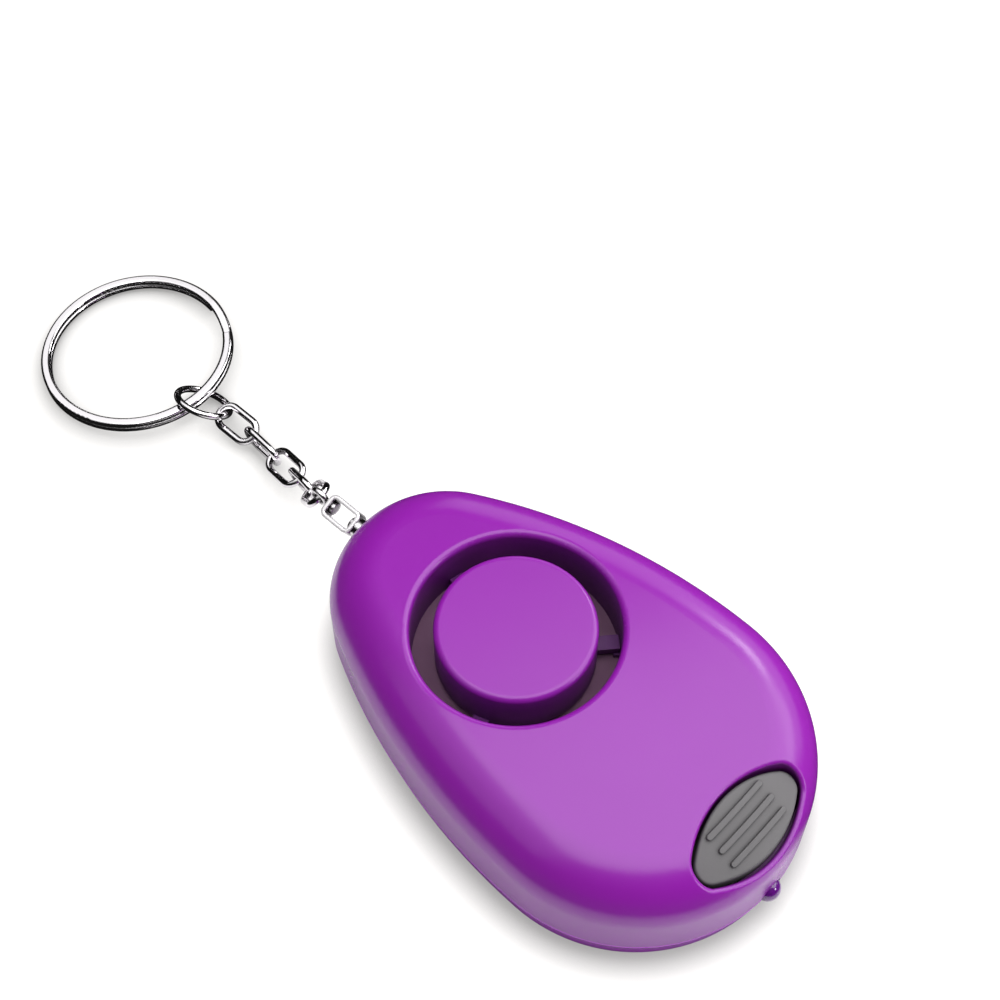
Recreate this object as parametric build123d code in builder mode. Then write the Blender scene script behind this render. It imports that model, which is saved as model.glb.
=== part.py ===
# Personal safety alarm on a key ring: an egg-shaped two-part housing with a siren well,
# a lamp and its push button, and a pull pin that hangs from a swivel, a chain and a split ring.
# The origin is the middle of the flat back. +X points to the lamp, +Z out of the front face.
import os
from math import atan2, cos, degrees, hypot, radians, sin, sqrt

from build123d import *

os.makedirs("parts", exist_ok=True)

# Housing
body_length = 62.0
wide_end_radius = 20.0
narrow_end_radius = 13.2
crown_height = 18.2
crown_radius = 290.0
shoulder_radius = 6.5
parting_height = 4.8
base_inset = 0.9
base_edge_radius = 2.2
base_inner_radius = 1.0
wall = 1.5
floor_thickness = 1.4
lip_height = 1.0
lip_thickness = 0.65
lip_clearance = 0.1
overrun = 5.0
edge_tolerance = 0.01

# Siren well and what stands in it
well_offset = 6.7
well_radius = 11.8
well_wall = 1.6
well_rim_radius = 0.7
lug_depth = 0.8
lug_width = 2.4
lug_height = 0.6
siren_seat_height = 10.5
siren_seat_clearance = 0.2
well_wall_overhang = 2.0
cap_radius = 9.16
cap_top_drop = 0.3
cap_wall = 1.2
cap_edge_radius = 0.7
cap_lift = 0.5
foot_width = 1.8
foot_height = 1.0
foot_clearance = 0.05
foot_count = 3
foot_angle = 48.0
plate_radius = 12.2
plate_thickness = 0.2
ceramic_radius = 8.5
ceramic_thickness = 0.2
buzzer_ring_width = 1.2

# Board and small parts
board_thickness = 1.0
board_clearance = 0.5
chip_offset = 10.5
chip_length = 5.0
chip_width = 4.0
chip_height = 1.5
chip_edge = 0.25
tall_part_inset = 19.0
tall_part_spread = 6.0
coil_radius = 3.0
coil_height = 5.0
coil_flange_thickness = 0.8
coil_post_radius = 1.3
coil_winding_radius = 2.6
capacitor_radius = 2.0
capacitor_height = 5.4
capacitor_edge_radius = 0.4
transistor_inset = 14.0
transistor_length = 4.5
transistor_width = 2.5
transistor_height = 1.5
resistor_inset = 11.5
resistor_spread = 4.5
resistor_length = 3.2
resistor_width = 1.6
resistor_height = 0.6
siren_lead_radius = 0.22
siren_lead_start = 0.8
siren_lead_reach = 5.0
siren_lead_bend = 0.45
siren_lead_drop = 0.9
siren_lead_spread = 2.4

# Cells and their contacts
cell_radius = 5.8
cell_height = 5.4
cell_edge_radius = 0.4
cell_cap_radius = 4.9
cell_cap_height = 0.35
cell_clearance = 0.15
cell_web = 0.5
contact_thickness = 0.2
contact_width = 4.0
contact_slot_clearance = 0.15
holder_rim = 0.9
riser_gap = 0.4

# Lamp
lamp_radius = 1.5
lamp_reach = 1.0
lamp_length = 5.4
lamp_flange_radius = 1.9
lamp_flange_thickness = 1.0
lamp_hole_clearance = 0.1
lamp_cradle_clearance = 0.04
lamp_cradle_thickness = 1.2
lamp_cradle_width = 6.0
lamp_lead_width = 0.5
lamp_lead_pitch = 2.54
lamp_lead_run = 2.2
lamp_lead_bend = 0.6

# Light button, its opening and the switch below it
button_inset = 4.9
button_half_width = 3.8
button_half_length = 9.3
button_corner_radius = 2.0
button_gap = 0.3
button_tilt = 24.0
button_face_drop = 2.3
button_crown_radius = 36.0
button_edge_radius = 0.35
button_rim_radius = 0.4
button_travel = 0.4
rib_length = 8.9
rib_width = 0.65
rib_height = 0.35
rib_spacing = 1.9
rib_root = 1.0
collar_wall = 1.0
collar_drop = 4.8
opening_depth = 6.2
flange_width = 0.6
flange_thickness = 0.7
flange_clearance = 0.1
flange_wall_gap = 0.3
plunger_gap = 0.1
switch_setback = 0.5
switch_size = 6.0
switch_edge = 0.3
plunger_radius = 1.7
plunger_height = 0.9
plunger_edge_radius = 0.2
plunger_clearance = 0.1
plunger_depth = 1.2
switch_leg_width = 0.7
switch_leg_thickness = 0.3
switch_leg_pitch = 4.5
switch_leg_height = 1.6
switch_leg_foot = 0.8

# Pull pin, its socket and its contacts
pin_height = 10.3
pin_radius = 1.25
pin_insertion = 9.6
pin_tip_radius = 0.6
pin_hole_clearance = 0.15
pin_bore_clearance = 0.05
pin_neck_radius = 0.5
pin_head_radius = 0.82
pin_head_thickness = 0.5
pin_head_edge_radius = 0.2
socket_length = 6.4
socket_width = 6.0
socket_roof = 1.1
socket_stand_off = 2.0
window_length = 3.2
window_roof = 0.7
leaf_thickness = 0.25
leaf_length = 2.4
leaf_height = 3.4
leaf_clearance = 0.05
leaf_foot = 1.2

# Screws and their posts
screw_radius = 1.0
screw_length = 8.0
screw_head_radius = 1.9
screw_head_height = 1.4
screw_head_edge_radius = 0.3
screw_slot_length = 2.4
screw_slot_width = 0.5
screw_slot_depth = 0.7
screw_recess_depth = 2.0
screw_recess_radius = 2.1
screw_clearance = 0.15
screw_thread_clearance = 0.02
screw_pilot_spare = 0.5
screw_post_radius = 2.0
screw_boss_radius = 2.9
narrow_screw_inset = 9.0
narrow_screw_spread = 7.0
wide_screw_inset = 10.5
wide_screw_spread = 12.0
post_board_clearance = 0.4

# Swivel
swivel_gap = 0.9
frame_length = 4.7
frame_depth = 3.1
frame_width = 2.4
frame_strip = 0.55
frame_corner_radius = 0.9
frame_inner_radius = 0.15
frame_roll = 24.0
rivet_clearance = 0.02
eye_radius = 1.05
eye_wire_radius = 0.4
eye_neck_radius = 0.5
eye_head_radius = 0.82
eye_head_thickness = 0.45
eye_clearance = 0.05
eye_stand_off = 0.15
eye_roll = 93.0

# Chain
link_wire = 0.9
link_length = 6.8
link_width = 3.9
link_gap = 0.1
jump_ring_diameter = 7.8
# Azimuth, droop and roll of each link in degrees, from the swivel to the key ring
link_angles = [(22, 48, 27), (15, 31.5, 103), (8, 14, 20), (4.7, 3, 95), (-1, -1, 25)]
jump_ring_angles = (-15.6, -7, -38)

# Split ring
ring_outer_radius = 12.5
ring_band_width = 1.25
ring_turn_height = 0.8
ring_turn_gap = 0.05
ring_jog_angle = 28.0
ring_jog_middle = 67.0
ring_edge_radius = 0.35
ring_hook_reach = 0.88
ring_lift = 1.85

# Places worked out from the sizes above
wide_centre = body_length / 2 - wide_end_radius
narrow_centre = narrow_end_radius - body_length / 2
centre_gap = wide_centre - narrow_centre
side_radius = (centre_gap**2 + wide_end_radius**2 - narrow_end_radius**2) / (
    2 * (wide_end_radius - narrow_end_radius)
)
side_centre = side_radius - wide_end_radius
side_end_angle = degrees(atan2(side_centre, -centre_gap))
crown_centre = crown_height - crown_radius
well_centre = (-well_offset, 0)
well_outer_radius = well_radius + well_wall
board_bottom = floor_thickness + cell_height + 2 * contact_thickness
board_top = board_bottom + board_thickness
pilot_top = screw_recess_depth + screw_length + screw_pilot_spare
pin_mouth = -body_length / 2
swivel_face = pin_mouth - swivel_gap
lamp_back = body_length / 2 + lamp_reach - lamp_length
cap_top_height = crown_height - cap_top_drop
button_offset = body_length / 2 - button_inset
button_face_height = crown_height - button_face_drop
collar_height = crown_height - collar_drop
button_bottom = collar_height - flange_clearance - flange_thickness
narrow_screw_x = narrow_screw_inset - body_length / 2
wide_screw_x = body_length / 2 - wide_screw_inset
screw_places = [
    (narrow_screw_x, -narrow_screw_spread),
    (narrow_screw_x, narrow_screw_spread),
    (wide_screw_x, -wide_screw_spread),
    (wide_screw_x, wide_screw_spread),
]


def egg_outline(inset):
    """Plan outline of the housing, four tangent arcs, drawn in by inset all round."""
    with BuildSketch(Plane.XY) as outline:
        with BuildLine():
            CenterArc((wide_centre, 0), wide_end_radius - inset, -90, 180)
            CenterArc((wide_centre, -side_centre), side_radius - inset, 90, side_end_angle - 90)
            CenterArc(
                (narrow_centre, 0),
                narrow_end_radius - inset,
                side_end_angle,
                2 * (180 - side_end_angle),
            )
            CenterArc(
                (wide_centre, side_centre), side_radius - inset, -side_end_angle, side_end_angle - 90
            )
        make_face()
    return outline.sketch


def domed_form(inset, base):
    """Solid under the crowned front face and its shoulder, drawn in by inset, from base up."""
    outline = egg_outline(inset)
    with BuildPart() as form:
        with BuildSketch(Plane.XY.offset(base)):
            add(outline)
        extrude(amount=crown_height)
        with Locations((0, 0, crown_centre)):
            Sphere(crown_radius - inset, mode=Mode.INTERSECT)
        fillet(form.faces().sort_by(Axis.Z)[-1].edges(), radius=shoulder_radius - inset)
    return form.part


def button_outline(inset):
    """Almond outline of the light button, two arcs with rounded tips, drawn in by inset."""
    arc_radius = (button_half_length**2 + button_half_width**2) / (2 * button_half_width)
    arc_centre = arc_radius - button_half_width
    corner_centre = sqrt((arc_radius - button_corner_radius) ** 2 - arc_centre**2)
    half_angle = degrees(atan2(corner_centre, arc_centre))
    right_centre = button_offset - arc_centre
    left_centre = button_offset + arc_centre
    corner_radius = button_corner_radius - inset
    with BuildSketch(Plane.XY) as outline:
        with BuildLine():
            CenterArc((right_centre, 0), arc_radius - inset, -half_angle, 2 * half_angle)
            CenterArc(
                (button_offset, corner_centre), corner_radius, half_angle, 180 - 2 * half_angle
            )
            CenterArc((left_centre, 0), arc_radius - inset, 180 - half_angle, 2 * half_angle)
            CenterArc(
                (button_offset, -corner_centre),
                corner_radius,
                180 + half_angle,
                180 - 2 * half_angle,
            )
        make_face()
    return outline.sketch


def on_well_wall(edge):
    """True for an edge whose middle lies on the wall of the siren well."""
    middle = edge.center()
    return abs(hypot(middle.X + well_offset, middle.Y) - well_radius) < edge_tolerance


# Front shell. The room inside is drawn first, less the well wall, the button collar and the posts.
outer_form = domed_form(0, parting_height)
inner_form = domed_form(wall, parting_height)
button_opening = button_outline(0)
button_collar = button_outline(-collar_wall)

with BuildPart() as front_room:
    add(inner_form)
    with BuildSketch(Plane.XY.offset(siren_seat_height - well_wall_overhang)):
        with Locations(well_centre):
            Circle(well_outer_radius)
    extrude(amount=crown_height, mode=Mode.SUBTRACT)
    with BuildSketch(Plane.XY.offset(collar_height)):
        add(button_collar)
    extrude(amount=crown_height, mode=Mode.SUBTRACT)
    with BuildSketch(Plane.XY.offset(parting_height)):
        with Locations(*screw_places):
            Circle(screw_post_radius)
    extrude(amount=crown_height, mode=Mode.SUBTRACT)

lip_outer = egg_outline(wall - lip_thickness)
lip_inner = egg_outline(wall)
with BuildPart() as front_shell:
    add(outer_form)
    add(front_room.part, mode=Mode.SUBTRACT)
    # Locating lip round the parting line
    with BuildSketch(Plane.XY.offset(parting_height)):
        add(lip_outer)
        add(lip_inner, mode=Mode.SUBTRACT)
    extrude(amount=-lip_height)
    # Siren well, open down to the siren plate, with a lug for each foot of the cap
    with BuildSketch(Plane.XY.offset(siren_seat_height)):
        with Locations(well_centre):
            Circle(well_radius)
    extrude(amount=crown_height, mode=Mode.SUBTRACT)
    well_edges = front_shell.edges(Select.LAST).filter_by(on_well_wall)
    well_rim = well_edges.filter_by(GeomType.LINE, reverse=True).filter_by_position(
        Axis.Z, crown_height - shoulder_radius, crown_height
    )
    fillet(well_rim, radius=well_rim_radius)
    with BuildSketch(Plane.XY.offset(siren_seat_height)):
        with Locations(well_centre):
            with PolarLocations(0, foot_count, start_angle=foot_angle):
                with Locations((well_radius, 0)):
                    Rectangle(2 * lug_depth, lug_width)
    extrude(amount=lug_height)
    with BuildSketch(Plane.XY.offset(siren_seat_height)):
        with Locations(well_centre):
            Circle(plate_radius + siren_seat_clearance)
    extrude(amount=-crown_height, mode=Mode.SUBTRACT)
    # Opening of the light button
    with BuildSketch(Plane.XY.offset(crown_height - opening_depth)):
        add(button_opening)
    extrude(amount=crown_height, mode=Mode.SUBTRACT)
    opening_edges = front_shell.edges(Select.LAST).filter_by(Axis.Z, reverse=True)
    upper_edges = opening_edges.filter_by_position(
        Axis.Z, collar_height + button_rim_radius, crown_height
    )
    opening_rim = upper_edges.filter_by_position(
        Axis.X, button_offset - button_half_width, body_length / 2
    )
    fillet(opening_rim, radius=button_rim_radius)
    # Pilot holes of the screws
    with BuildSketch(Plane.XY.offset(parting_height)):
        with Locations(*screw_places):
            Circle(screw_radius + screw_thread_clearance)
    extrude(amount=pilot_top - parting_height, mode=Mode.SUBTRACT)
    # Lamp hole on the parting line and pin hole in the narrow end
    with BuildSketch(Plane.YZ.offset(body_length / 2 - 2 * wall)):
        with Locations((0, parting_height)):
            Circle(lamp_radius + lamp_hole_clearance)
    extrude(amount=overrun, mode=Mode.SUBTRACT)
    with BuildSketch(Plane.YZ.offset(pin_mouth + 2 * wall)):
        with Locations((0, pin_height)):
            Circle(pin_radius + pin_hole_clearance)
    extrude(amount=-overrun, mode=Mode.SUBTRACT)
front_shell.part.label = "front_shell"
export_step(front_shell.part, "parts/front_shell.step")

# Rear shell
rear_top = egg_outline(0)
rear_base = egg_outline(base_inset)
rear_inside = egg_outline(wall)
rebate_outline = egg_outline(wall - lip_thickness - lip_clearance)
cradle_back = lamp_back + lamp_flange_thickness
with BuildPart() as rear_shell:
    with BuildSketch(Plane.XY):
        add(rear_base)
    with BuildSketch(Plane.XY.offset(parting_height)):
        add(rear_top)
    loft(ruled=True)
    fillet(rear_shell.faces().sort_by(Axis.Z)[0].edges(), radius=base_edge_radius)
    with BuildSketch(Plane.XY.offset(floor_thickness)):
        add(rear_inside)
    extrude(amount=parting_height, mode=Mode.SUBTRACT)
    fillet(rear_shell.edges(Select.LAST).group_by(Axis.Z)[0], radius=base_inner_radius)
    # Rebate for the locating lip
    with BuildSketch(Plane.XY.offset(parting_height - lip_height - lip_clearance)):
        add(rebate_outline)
        add(rear_inside, mode=Mode.SUBTRACT)
    extrude(amount=parting_height, mode=Mode.SUBTRACT)
    # Screw bosses and the cradle of the lamp
    with BuildSketch(Plane.XY.offset(floor_thickness)):
        with Locations(*screw_places):
            Circle(screw_boss_radius)
    extrude(amount=parting_height - floor_thickness)
    with BuildSketch(Plane.XY.offset(floor_thickness)):
        with Locations((cradle_back + lamp_cradle_thickness / 2, 0)):
            Rectangle(lamp_cradle_thickness, lamp_cradle_width)
    extrude(amount=parting_height - floor_thickness)
    with BuildSketch(Plane.YZ.offset(cradle_back)):
        with Locations((0, parting_height)):
            Circle(lamp_radius + lamp_cradle_clearance)
    extrude(amount=lamp_cradle_thickness, mode=Mode.SUBTRACT)
    with BuildSketch(Plane.YZ.offset(cradle_back + lamp_cradle_thickness)):
        with Locations((0, parting_height)):
            Circle(lamp_radius + lamp_hole_clearance)
    extrude(amount=overrun, mode=Mode.SUBTRACT)
    # Screw holes with their recesses
    with BuildSketch(Plane.XY):
        with Locations(*screw_places):
            Circle(screw_radius + screw_clearance)
    extrude(amount=parting_height, mode=Mode.SUBTRACT)
    with BuildSketch(Plane.XY):
        with Locations(*screw_places):
            Circle(screw_recess_radius)
    extrude(amount=screw_recess_depth, mode=Mode.SUBTRACT)
rear_shell.part.label = "rear_shell"
export_step(rear_shell.part, "parts/rear_shell.step")

# Screws, one group
with BuildPart() as housing_screws:
    with BuildSketch(Plane.XY.offset(screw_recess_depth)):
        with Locations(*screw_places):
            Circle(screw_head_radius)
    extrude(amount=-screw_head_height)
    fillet(
        housing_screws.faces().filter_by(Axis.Z).group_by(Axis.Z)[0].edges(),
        radius=screw_head_edge_radius,
    )
    with BuildSketch(Plane.XY.offset(screw_recess_depth)):
        with Locations(*screw_places):
            Circle(screw_radius)
    extrude(amount=screw_length)
    with BuildSketch(Plane.XY.offset(screw_recess_depth - screw_head_height)):
        with Locations(*screw_places):
            Rectangle(screw_slot_length, screw_slot_width)
            Rectangle(screw_slot_width, screw_slot_length)
    extrude(amount=screw_slot_depth, mode=Mode.SUBTRACT)
housing_screws.part.label = "housing_screws"
export_step(housing_screws.part, "parts/housing_screws.step")

# Siren cap on its feet
cap_base = siren_seat_height + lug_height + cap_lift
foot_reach = well_radius - foot_clearance
with BuildPart() as siren_cap:
    with BuildSketch(Plane.XY.offset(cap_base)):
        with Locations(well_centre):
            Circle(cap_radius)
    extrude(amount=cap_top_height - cap_base)
    fillet(siren_cap.faces().sort_by(Axis.Z)[-1].edges(), radius=cap_edge_radius)
    with BuildSketch(Plane.XY.offset(cap_base)):
        with Locations(well_centre):
            Circle(cap_radius - cap_wall)
    extrude(amount=cap_top_height - cap_wall - cap_base, mode=Mode.SUBTRACT)
    with BuildSketch(Plane.XY.offset(cap_base - cap_lift)):
        with Locations(well_centre):
            with PolarLocations(0, foot_count, start_angle=foot_angle):
                with Locations((foot_reach / 2, 0)):
                    Rectangle(foot_reach, foot_width)
            Circle(foot_reach, mode=Mode.INTERSECT)
            Circle(cap_radius - cap_wall, mode=Mode.SUBTRACT)
    extrude(amount=foot_height)
siren_cap.part.label = "siren_cap"
export_step(siren_cap.part, "parts/siren_cap.step")

# Piezo disc: metal plate with the ceramic under it, and the ring that presses it to its seat
plate_bottom = siren_seat_height - plate_thickness
with BuildPart() as piezo_plate:
    with BuildSketch(Plane.XY.offset(plate_bottom)):
        with Locations(well_centre):
            Circle(plate_radius)
    extrude(amount=plate_thickness)
piezo_plate.part.label = "piezo_plate"
export_step(piezo_plate.part, "parts/piezo_plate.step")

with BuildPart() as piezo_ceramic:
    with BuildSketch(Plane.XY.offset(plate_bottom)):
        with Locations(well_centre):
            Circle(ceramic_radius)
    extrude(amount=-ceramic_thickness)
piezo_ceramic.part.label = "piezo_ceramic"
export_step(piezo_ceramic.part, "parts/piezo_ceramic.step")

with BuildPart() as buzzer_ring:
    with BuildSketch(Plane.XY.offset(board_top)):
        with Locations(well_centre):
            Circle(plate_radius)
            Circle(plate_radius - buzzer_ring_width, mode=Mode.SUBTRACT)
    extrude(amount=plate_bottom - board_top)
buzzer_ring.part.label = "buzzer_ring"
export_step(buzzer_ring.part, "parts/buzzer_ring.step")

# Board
board_outline = egg_outline(wall + board_clearance)
with BuildPart() as circuit_board:
    with BuildSketch(Plane.XY.offset(board_bottom)):
        add(board_outline)
        with Locations(*screw_places):
            Circle(screw_post_radius + post_board_clearance, mode=Mode.SUBTRACT)
    extrude(amount=board_thickness)
circuit_board.part.label = "circuit_board"
export_step(circuit_board.part, "parts/circuit_board.step")

with BuildPart() as driver_chip:
    with BuildSketch(Plane.XY.offset(board_top)):
        with Locations((-chip_offset, 0)):
            Rectangle(chip_length, chip_width)
    extrude(amount=chip_height)
    chamfer(driver_chip.faces().sort_by(Axis.Z)[-1].edges(), length=chip_edge)
driver_chip.part.label = "driver_chip"
export_step(driver_chip.part, "parts/driver_chip.step")

with BuildPart() as transistor:
    with BuildSketch(Plane.XY.offset(board_top)):
        with Locations((body_length / 2 - transistor_inset, 0)):
            Rectangle(transistor_width, transistor_length)
    extrude(amount=transistor_height)
    chamfer(transistor.faces().sort_by(Axis.Z)[-1].edges(), length=chip_edge)
transistor.part.label = "transistor"
export_step(transistor.part, "parts/transistor.step")

with BuildPart() as lamp_resistor:
    with BuildSketch(Plane.XY.offset(board_top)):
        with Locations((body_length / 2 - resistor_inset, resistor_spread)):
            Rectangle(resistor_length, resistor_width)
    extrude(amount=resistor_height)
lamp_resistor.part.label = "lamp_resistor"
export_step(lamp_resistor.part, "parts/lamp_resistor.step")

# Coil: a drum core with its winding
tall_part_x = body_length / 2 - tall_part_inset
coil_place = (tall_part_x, tall_part_spread)
coil_room = coil_height - 2 * coil_flange_thickness
with BuildPart() as coil_core:
    with BuildSketch(Plane.XY.offset(board_top)):
        with Locations(coil_place):
            Circle(coil_radius)
    extrude(amount=coil_height)
    with BuildSketch(Plane.XY.offset(board_top + coil_flange_thickness)):
        with Locations(coil_place):
            Circle(coil_radius)
            Circle(coil_post_radius, mode=Mode.SUBTRACT)
    extrude(amount=coil_room, mode=Mode.SUBTRACT)
coil_core.part.label = "coil_core"
export_step(coil_core.part, "parts/coil_core.step")

with BuildPart() as coil_winding:
    with BuildSketch(Plane.XY.offset(board_top + coil_flange_thickness)):
        with Locations(coil_place):
            Circle(coil_winding_radius)
            Circle(coil_post_radius, mode=Mode.SUBTRACT)
    extrude(amount=coil_room)
coil_winding.part.label = "coil_winding"
export_step(coil_winding.part, "parts/coil_winding.step")

with BuildPart() as capacitor:
    with BuildSketch(Plane.XY.offset(board_top)):
        with Locations((tall_part_x, -tall_part_spread)):
            Circle(capacitor_radius)
    extrude(amount=capacitor_height)
    fillet(capacitor.faces().sort_by(Axis.Z)[-1].edges(), radius=capacitor_edge_radius)
capacitor.part.label = "capacitor"
export_step(capacitor.part, "parts/capacitor.step")

# Leads of the siren, from the underside of the ceramic down to the board
lead_top = plate_bottom - ceramic_thickness
lead_run_height = lead_top - siren_lead_drop
lead_start_x = siren_lead_start - well_offset
lead_end_x = lead_start_x + siren_lead_reach
for lead_name, lead_y in [
    ("piezo_lead_red", siren_lead_spread),
    ("piezo_lead_black", -siren_lead_spread),
]:
    with BuildPart() as siren_lead:
        with BuildLine() as lead_path:
            FilletPolyline(
                (lead_start_x, lead_y, lead_top),
                (lead_start_x, lead_y, lead_run_height),
                (lead_end_x, lead_y, lead_run_height),
                (lead_end_x, lead_y, board_top),
                radius=siren_lead_bend,
            )
        with BuildSketch(Plane(origin=lead_path.line @ 0, z_dir=lead_path.line % 0)):
            Circle(siren_lead_radius)
        sweep()
    siren_lead.part.label = lead_name
    export_step(siren_lead.part, f"parts/{lead_name}.step")

# Cells in series, the middle one upside down
cell_spacing = 2 * (cell_radius + cell_clearance) + cell_web
cell_bottom = floor_thickness + contact_thickness
cell_top = cell_bottom + cell_height
can_height = cell_height - cell_cap_height
for cell_number, cell_x, cell_base, cell_way in [
    (1, -cell_spacing, cell_top, -1),
    (2, 0, cell_bottom, 1),
    (3, cell_spacing, cell_top, -1),
]:
    with BuildPart() as button_cell:
        with BuildSketch(Plane.XY.offset(cell_base)):
            with Locations((cell_x, 0)):
                Circle(cell_radius)
        extrude(amount=cell_way * can_height)
        fillet(button_cell.edges().filter_by(GeomType.CIRCLE), radius=cell_edge_radius)
        with BuildSketch(Plane.XY.offset(cell_base)):
            with Locations((cell_x, 0)):
                Circle(cell_cap_radius)
        extrude(amount=cell_way * cell_height)
    button_cell.part.label = f"button_cell_{cell_number}"
    export_step(button_cell.part, f"parts/button_cell_{cell_number}.step")

# Cell holder with a channel for each contact strip
bore_radius = cell_radius + cell_clearance
holder_half_width = bore_radius + holder_rim
channel_width = contact_width + 2 * contact_slot_clearance
channel_depth = contact_thickness + contact_slot_clearance
riser_x = cell_spacing + holder_half_width + riser_gap
with BuildPart() as cell_holder:
    with BuildSketch(Plane.XY.offset(floor_thickness)):
        SlotCenterToCenter(2 * cell_spacing, 2 * holder_half_width)
        with Locations((-cell_spacing, 0), (0, 0), (cell_spacing, 0)):
            Circle(bore_radius, mode=Mode.SUBTRACT)
    extrude(amount=board_bottom - floor_thickness)
    with BuildSketch(Plane.XY.offset(floor_thickness)):
        with Locations((-cell_spacing / 2, 0)):
            Rectangle(cell_spacing, channel_width)
        with Locations(((cell_spacing + riser_x) / 2, 0)):
            Rectangle(riser_x - cell_spacing, channel_width)
    extrude(amount=channel_depth, mode=Mode.SUBTRACT)
    with BuildSketch(Plane.XY.offset(board_bottom)):
        with Locations((cell_spacing / 2, 0)):
            Rectangle(cell_spacing, channel_width)
    extrude(amount=-channel_depth, mode=Mode.SUBTRACT)
cell_holder.part.label = "cell_holder"
export_step(cell_holder.part, "parts/cell_holder.step")

# Contact strips: over cell 1, under cells 1 and 2, over cells 2 and 3, under cell 3
with BuildPart() as positive_contact:
    with BuildSketch(Plane.XY.offset(cell_top)):
        with Locations((-cell_spacing, 0)):
            SlotOverall(2 * contact_width, contact_width)
    extrude(amount=contact_thickness)
positive_contact.part.label = "positive_contact"
export_step(positive_contact.part, "parts/positive_contact.step")

with BuildPart() as cell_link_lower:
    with BuildSketch(Plane.XY.offset(floor_thickness)):
        with Locations((-cell_spacing / 2, 0)):
            SlotCenterToCenter(cell_spacing, contact_width)
    extrude(amount=contact_thickness)
cell_link_lower.part.label = "cell_link_lower"
export_step(cell_link_lower.part, "parts/cell_link_lower.step")

with BuildPart() as cell_link_upper:
    with BuildSketch(Plane.XY.offset(cell_top)):
        with Locations((cell_spacing / 2, 0)):
            SlotCenterToCenter(cell_spacing, contact_width)
    extrude(amount=contact_thickness)
cell_link_upper.part.label = "cell_link_upper"
export_step(cell_link_upper.part, "parts/cell_link_upper.step")

with BuildPart() as negative_contact:
    with BuildSketch(Plane.XY.offset(floor_thickness)):
        with Locations(((cell_spacing + riser_x + contact_thickness) / 2, 0)):
            Rectangle(riser_x + contact_thickness - cell_spacing, contact_width)
        with Locations((cell_spacing, 0)):
            Circle(contact_width / 2)
    extrude(amount=contact_thickness)
    with BuildSketch(Plane.XY.offset(floor_thickness)):
        with Locations((riser_x + contact_thickness / 2, 0)):
            Rectangle(contact_thickness, contact_width)
    extrude(amount=board_bottom - floor_thickness)
negative_contact.part.label = "negative_contact"
export_step(negative_contact.part, "parts/negative_contact.step")

# Lamp: a domed lens on a flanged foot, lying along X on the parting line
dome_centre = lamp_back + lamp_length - lamp_radius
with BuildPart() as lamp:
    with BuildSketch(Plane.YZ.offset(lamp_back)):
        with Locations((0, parting_height)):
            Circle(lamp_flange_radius)
    extrude(amount=lamp_flange_thickness)
    with BuildSketch(Plane.YZ.offset(lamp_back)):
        with Locations((0, parting_height)):
            Circle(lamp_radius)
    extrude(amount=dome_centre - lamp_back)
    with Locations((dome_centre, 0, parting_height)):
        Sphere(lamp_radius)
lamp.part.label = "lamp"
export_step(lamp.part, "parts/lamp.step")

# Two bent legs of the lamp, up to the underside of the board
lead_x = lamp_back - lamp_lead_run
with BuildPart() as lamp_leads:
    for leg_y in (-lamp_lead_pitch / 2, lamp_lead_pitch / 2):
        with BuildSketch(Plane.XZ.offset(-leg_y)):
            with BuildLine():
                FilletPolyline(
                    (lamp_back, parting_height),
                    (lead_x, parting_height),
                    (lead_x, board_bottom),
                    radius=lamp_lead_bend,
                )
            trace(line_width=lamp_lead_width)
        extrude(amount=lamp_lead_width / 2, both=True)
lamp_leads.part.label = "lamp_leads"
export_step(lamp_leads.part, "parts/lamp_leads.step")

# Push switch: body, legs and plunger, as tall as the room under the button
switch_x = button_offset - switch_setback
plunger_top = button_bottom - plunger_gap
switch_top = plunger_top - plunger_height
with BuildPart() as switch_body:
    with BuildSketch(Plane.XY.offset(board_top)):
        with Locations((switch_x, 0)):
            Rectangle(switch_size, switch_size)
    extrude(amount=switch_top - board_top)
    chamfer(switch_body.faces().sort_by(Axis.Z)[-1].edges(), length=switch_edge)
    with BuildSketch(Plane.XY.offset(switch_top)):
        with Locations((switch_x, 0)):
            Circle(plunger_radius + plunger_clearance)
    extrude(amount=-plunger_depth - button_travel - plunger_clearance, mode=Mode.SUBTRACT)
switch_body.part.label = "switch_body"
export_step(switch_body.part, "parts/switch_body.step")

leg_face = switch_size / 2
with BuildPart() as switch_legs:
    for leg_x in (switch_x - switch_leg_pitch / 2, switch_x + switch_leg_pitch / 2):
        with BuildSketch(Plane.YZ.offset(leg_x)):
            for leg_side in (-1, 1):
                with BuildLine():
                    Polyline(
                        (leg_side * leg_face, board_top),
                        (leg_side * (leg_face + switch_leg_foot), board_top),
                        (leg_side * (leg_face + switch_leg_foot), board_top + switch_leg_thickness),
                        (
                            leg_side * (leg_face + switch_leg_thickness),
                            board_top + switch_leg_thickness,
                        ),
                        (leg_side * (leg_face + switch_leg_thickness), board_top + switch_leg_height),
                        (leg_side * leg_face, board_top + switch_leg_height),
                        close=True,
                    )
                make_face()
        extrude(amount=switch_leg_width / 2, both=True)
switch_legs.part.label = "switch_legs"
export_step(switch_legs.part, "parts/switch_legs.step")

with BuildPart() as switch_plunger:
    with BuildSketch(Plane.XY.offset(plunger_top)):
        with Locations((switch_x, 0)):
            Circle(plunger_radius)
    extrude(amount=-plunger_height - plunger_depth)
    fillet(switch_plunger.faces().sort_by(Axis.Z)[-1].edges(), radius=plunger_edge_radius)
switch_plunger.part.label = "switch_plunger"
export_step(switch_plunger.part, "parts/switch_plunger.step")

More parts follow.
